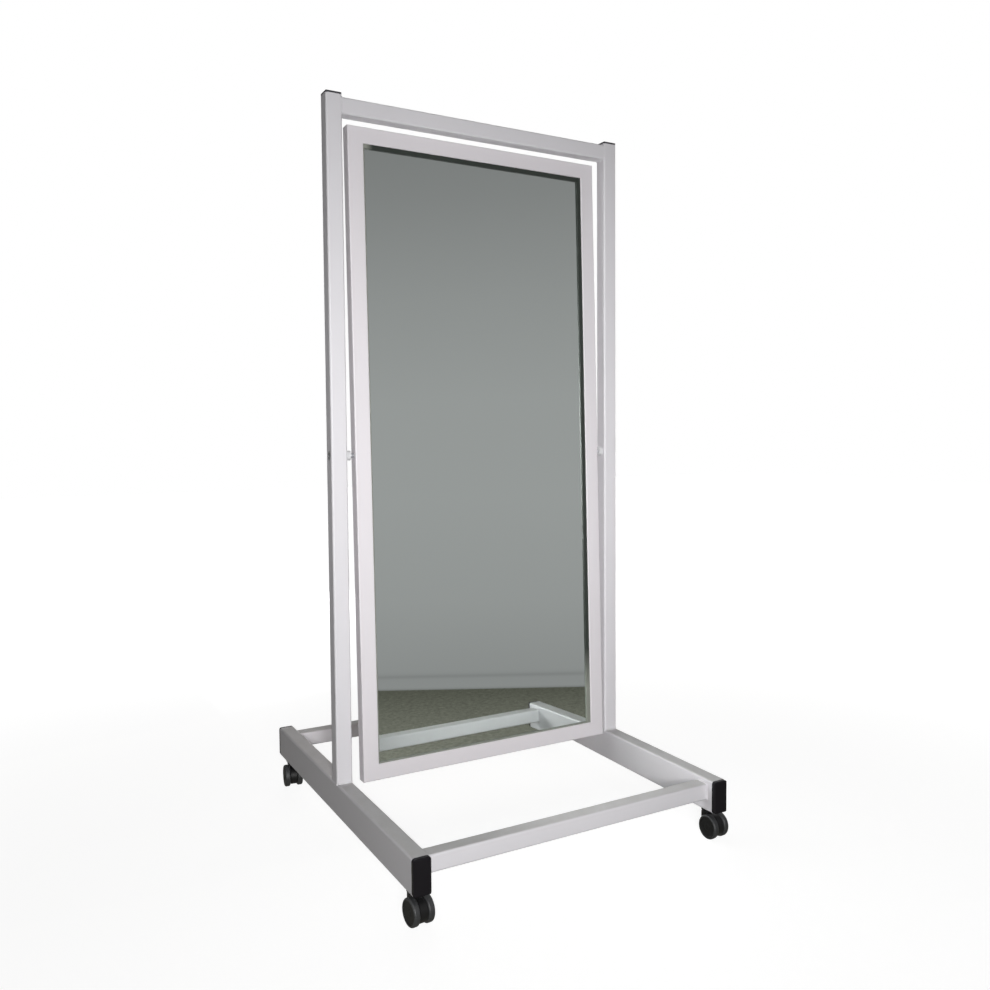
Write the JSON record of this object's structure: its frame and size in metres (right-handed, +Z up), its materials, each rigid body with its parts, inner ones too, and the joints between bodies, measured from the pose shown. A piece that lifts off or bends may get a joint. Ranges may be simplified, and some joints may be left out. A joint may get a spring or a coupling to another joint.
{
  "type": "rolling floor mirror",
  "caption": "Tall framed mirror tilting on a pivot between two uprights of a square-tube stand that rolls on twin-wheel swivel casters.",
  "frame": {"origin": "on the floor, midway between the two uprights, under the mirror's pivot axis", "axes": "+X to the stand's right as one faces the mirror, +Z up; the mirror faces -Y"},
  "size_m": [0.8473, 1.0185, 1.821],
  "materials": {
    "stand_coat": "satin powder coat",
    "frame_coat": "satin powder coat",
    "cap_plastic": "moulded",
    "nylon": "moulded",
    "zinc_steel": "zinc plated",
    "silvered_glass": "silvered float glass",
    "seal": "black",
    "hardboard": "oiled hardboard",
    "strip_aluminium": "mill finish",
    "caster_plastic": "moulded",
    "hub_plastic": "moulded",
    "tread": "grey-black soft tread"
  },
  "bodies": {
    "stand": {"left_side_rail": "stand_coat", "right_side_rail": "stand_coat", "front_crossbar": "stand_coat", "rear_crossbar": "stand_coat", "left_upright": "stand_coat", "right_upright": "stand_coat", "top_crossbar": "stand_coat", "left_upright_cap": "cap_plastic", "right_upright_cap": "cap_plastic", "front_left_rail_cap": "cap_plastic", "front_right_rail_cap": "cap_plastic", "rear_left_rail_cap": "cap_plastic", "rear_right_rail_cap": "cap_plastic", "left_pivot_bush": "nylon", "right_pivot_bush": "nylon", "caster_nuts": "zinc_steel", "caster_stems": "zinc_steel"},
    "mirror": {"mirror_left_stile": "frame_coat", "mirror_right_stile": "frame_coat", "mirror_top_rail": "frame_coat", "mirror_bottom_rail": "frame_coat", "mirror_glass": "silvered_glass", "glazing_seal": "seal", "backing_board": "hardboard", "left_strip": "strip_aluminium", "right_strip": "strip_aluminium", "top_strip": "strip_aluminium", "bottom_strip": "strip_aluminium", "strip_screws": "zinc_steel", "pivot_bolts": "zinc_steel", "pivot_nuts": "zinc_steel"},
    "front_left_swivel": {"front_left_fork": "caster_plastic", "front_left_axle": "zinc_steel"},
    "front_left_wheel_l": {"front_left_hub_l": "hub_plastic", "front_left_tyre_l": "tread"},
    "front_left_wheel_r": {"front_left_hub_r": "hub_plastic", "front_left_tyre_r": "tread"},
    "front_right_swivel": {"front_right_fork": "caster_plastic", "front_right_axle": "zinc_steel"},
    "front_right_wheel_l": {"front_right_hub_l": "hub_plastic", "front_right_tyre_l": "tread"},
    "front_right_wheel_r": {"front_right_hub_r": "hub_plastic", "front_right_tyre_r": "tread"},
    "rear_left_swivel": {"rear_left_fork": "caster_plastic", "rear_left_axle": "zinc_steel"},
    "rear_left_wheel_l": {"rear_left_hub_l": "hub_plastic", "rear_left_tyre_l": "tread"},
    "rear_left_wheel_r": {"rear_left_hub_r": "hub_plastic", "rear_left_tyre_r": "tread"},
    "rear_right_swivel": {"rear_right_fork": "caster_plastic", "rear_right_axle": "zinc_steel"},
    "rear_right_wheel_l": {"rear_right_hub_l": "hub_plastic", "rear_right_tyre_l": "tread"},
    "rear_right_wheel_r": {"rear_right_hub_r": "hub_plastic", "rear_right_tyre_r": "tread"}
  },
  "joints": [
    {"name": "mirror_tilt", "type": "hinge", "parent": "stand", "child": "mirror", "pos_m": [0, 0, 0.956], "axis": [1, 0, 0], "continuous": true},
    {"name": "front_left_swivel", "type": "hinge", "parent": "stand", "child": "front_left_swivel", "pos_m": [-0.395, -0.45, 0.066], "axis": [0, 0, 1], "continuous": true},
    {"name": "front_left_left_roll", "type": "hinge", "parent": "front_left_swivel", "child": "front_left_wheel_l", "pos_m": [-0.39291, -0.47391, 0.03], "axis": [-0.9962, -0.0872, 0], "continuous": true},
    {"name": "front_left_right_roll", "type": "hinge", "parent": "front_left_swivel", "child": "front_left_wheel_r", "pos_m": [-0.39291, -0.47391, 0.03], "axis": [-0.9962, -0.0872, 0], "continuous": true},
    {"name": "front_right_swivel", "type": "hinge", "parent": "stand", "child": "front_right_swivel", "pos_m": [0.395, -0.45, 0.066], "axis": [0, 0, 1], "continuous": true},
    {"name": "front_right_left_roll", "type": "hinge", "parent": "front_right_swivel", "child": "front_right_wheel_l", "pos_m": [0.39667, -0.47394, 0.03], "axis": [-0.9976, -0.0698, 0], "continuous": true},
    {"name": "front_right_right_roll", "type": "hinge", "parent": "front_right_swivel", "child": "front_right_wheel_r", "pos_m": [0.39667, -0.47394, 0.03], "axis": [-0.9976, -0.0698, 0], "continuous": true},
    {"name": "rear_left_swivel", "type": "hinge", "parent": "stand", "child": "rear_left_swivel", "pos_m": [-0.395, 0.46, 0.066], "axis": [0, 0, 1], "continuous": true},
    {"name": "rear_left_left_roll", "type": "hinge", "parent": "rear_left_swivel", "child": "rear_left_wheel_l", "pos_m": [-0.39792, 0.43618, 0.03], "axis": [-0.9925, 0.1219, 0], "continuous": true},
    {"name": "rear_left_right_roll", "type": "hinge", "parent": "rear_left_swivel", "child": "rear_left_wheel_r", "pos_m": [-0.39792, 0.43618, 0.03], "axis": [-0.9925, 0.1219, 0], "continuous": true},
    {"name": "rear_right_swivel", "type": "hinge", "parent": "stand", "child": "rear_right_swivel", "pos_m": [0.395, 0.46, 0.066], "axis": [0, 0, 1], "continuous": true},
    {"name": "rear_right_left_roll", "type": "hinge", "parent": "rear_right_swivel", "child": "rear_right_wheel_l", "pos_m": [0.39249, 0.43613, 0.03], "axis": [-0.9945, 0.1045, 0], "continuous": true},
    {"name": "rear_right_right_roll", "type": "hinge", "parent": "rear_right_swivel", "child": "rear_right_wheel_r", "pos_m": [0.39249, 0.43613, 0.03], "axis": [-0.9945, 0.1045, 0], "continuous": true}
  ]
}
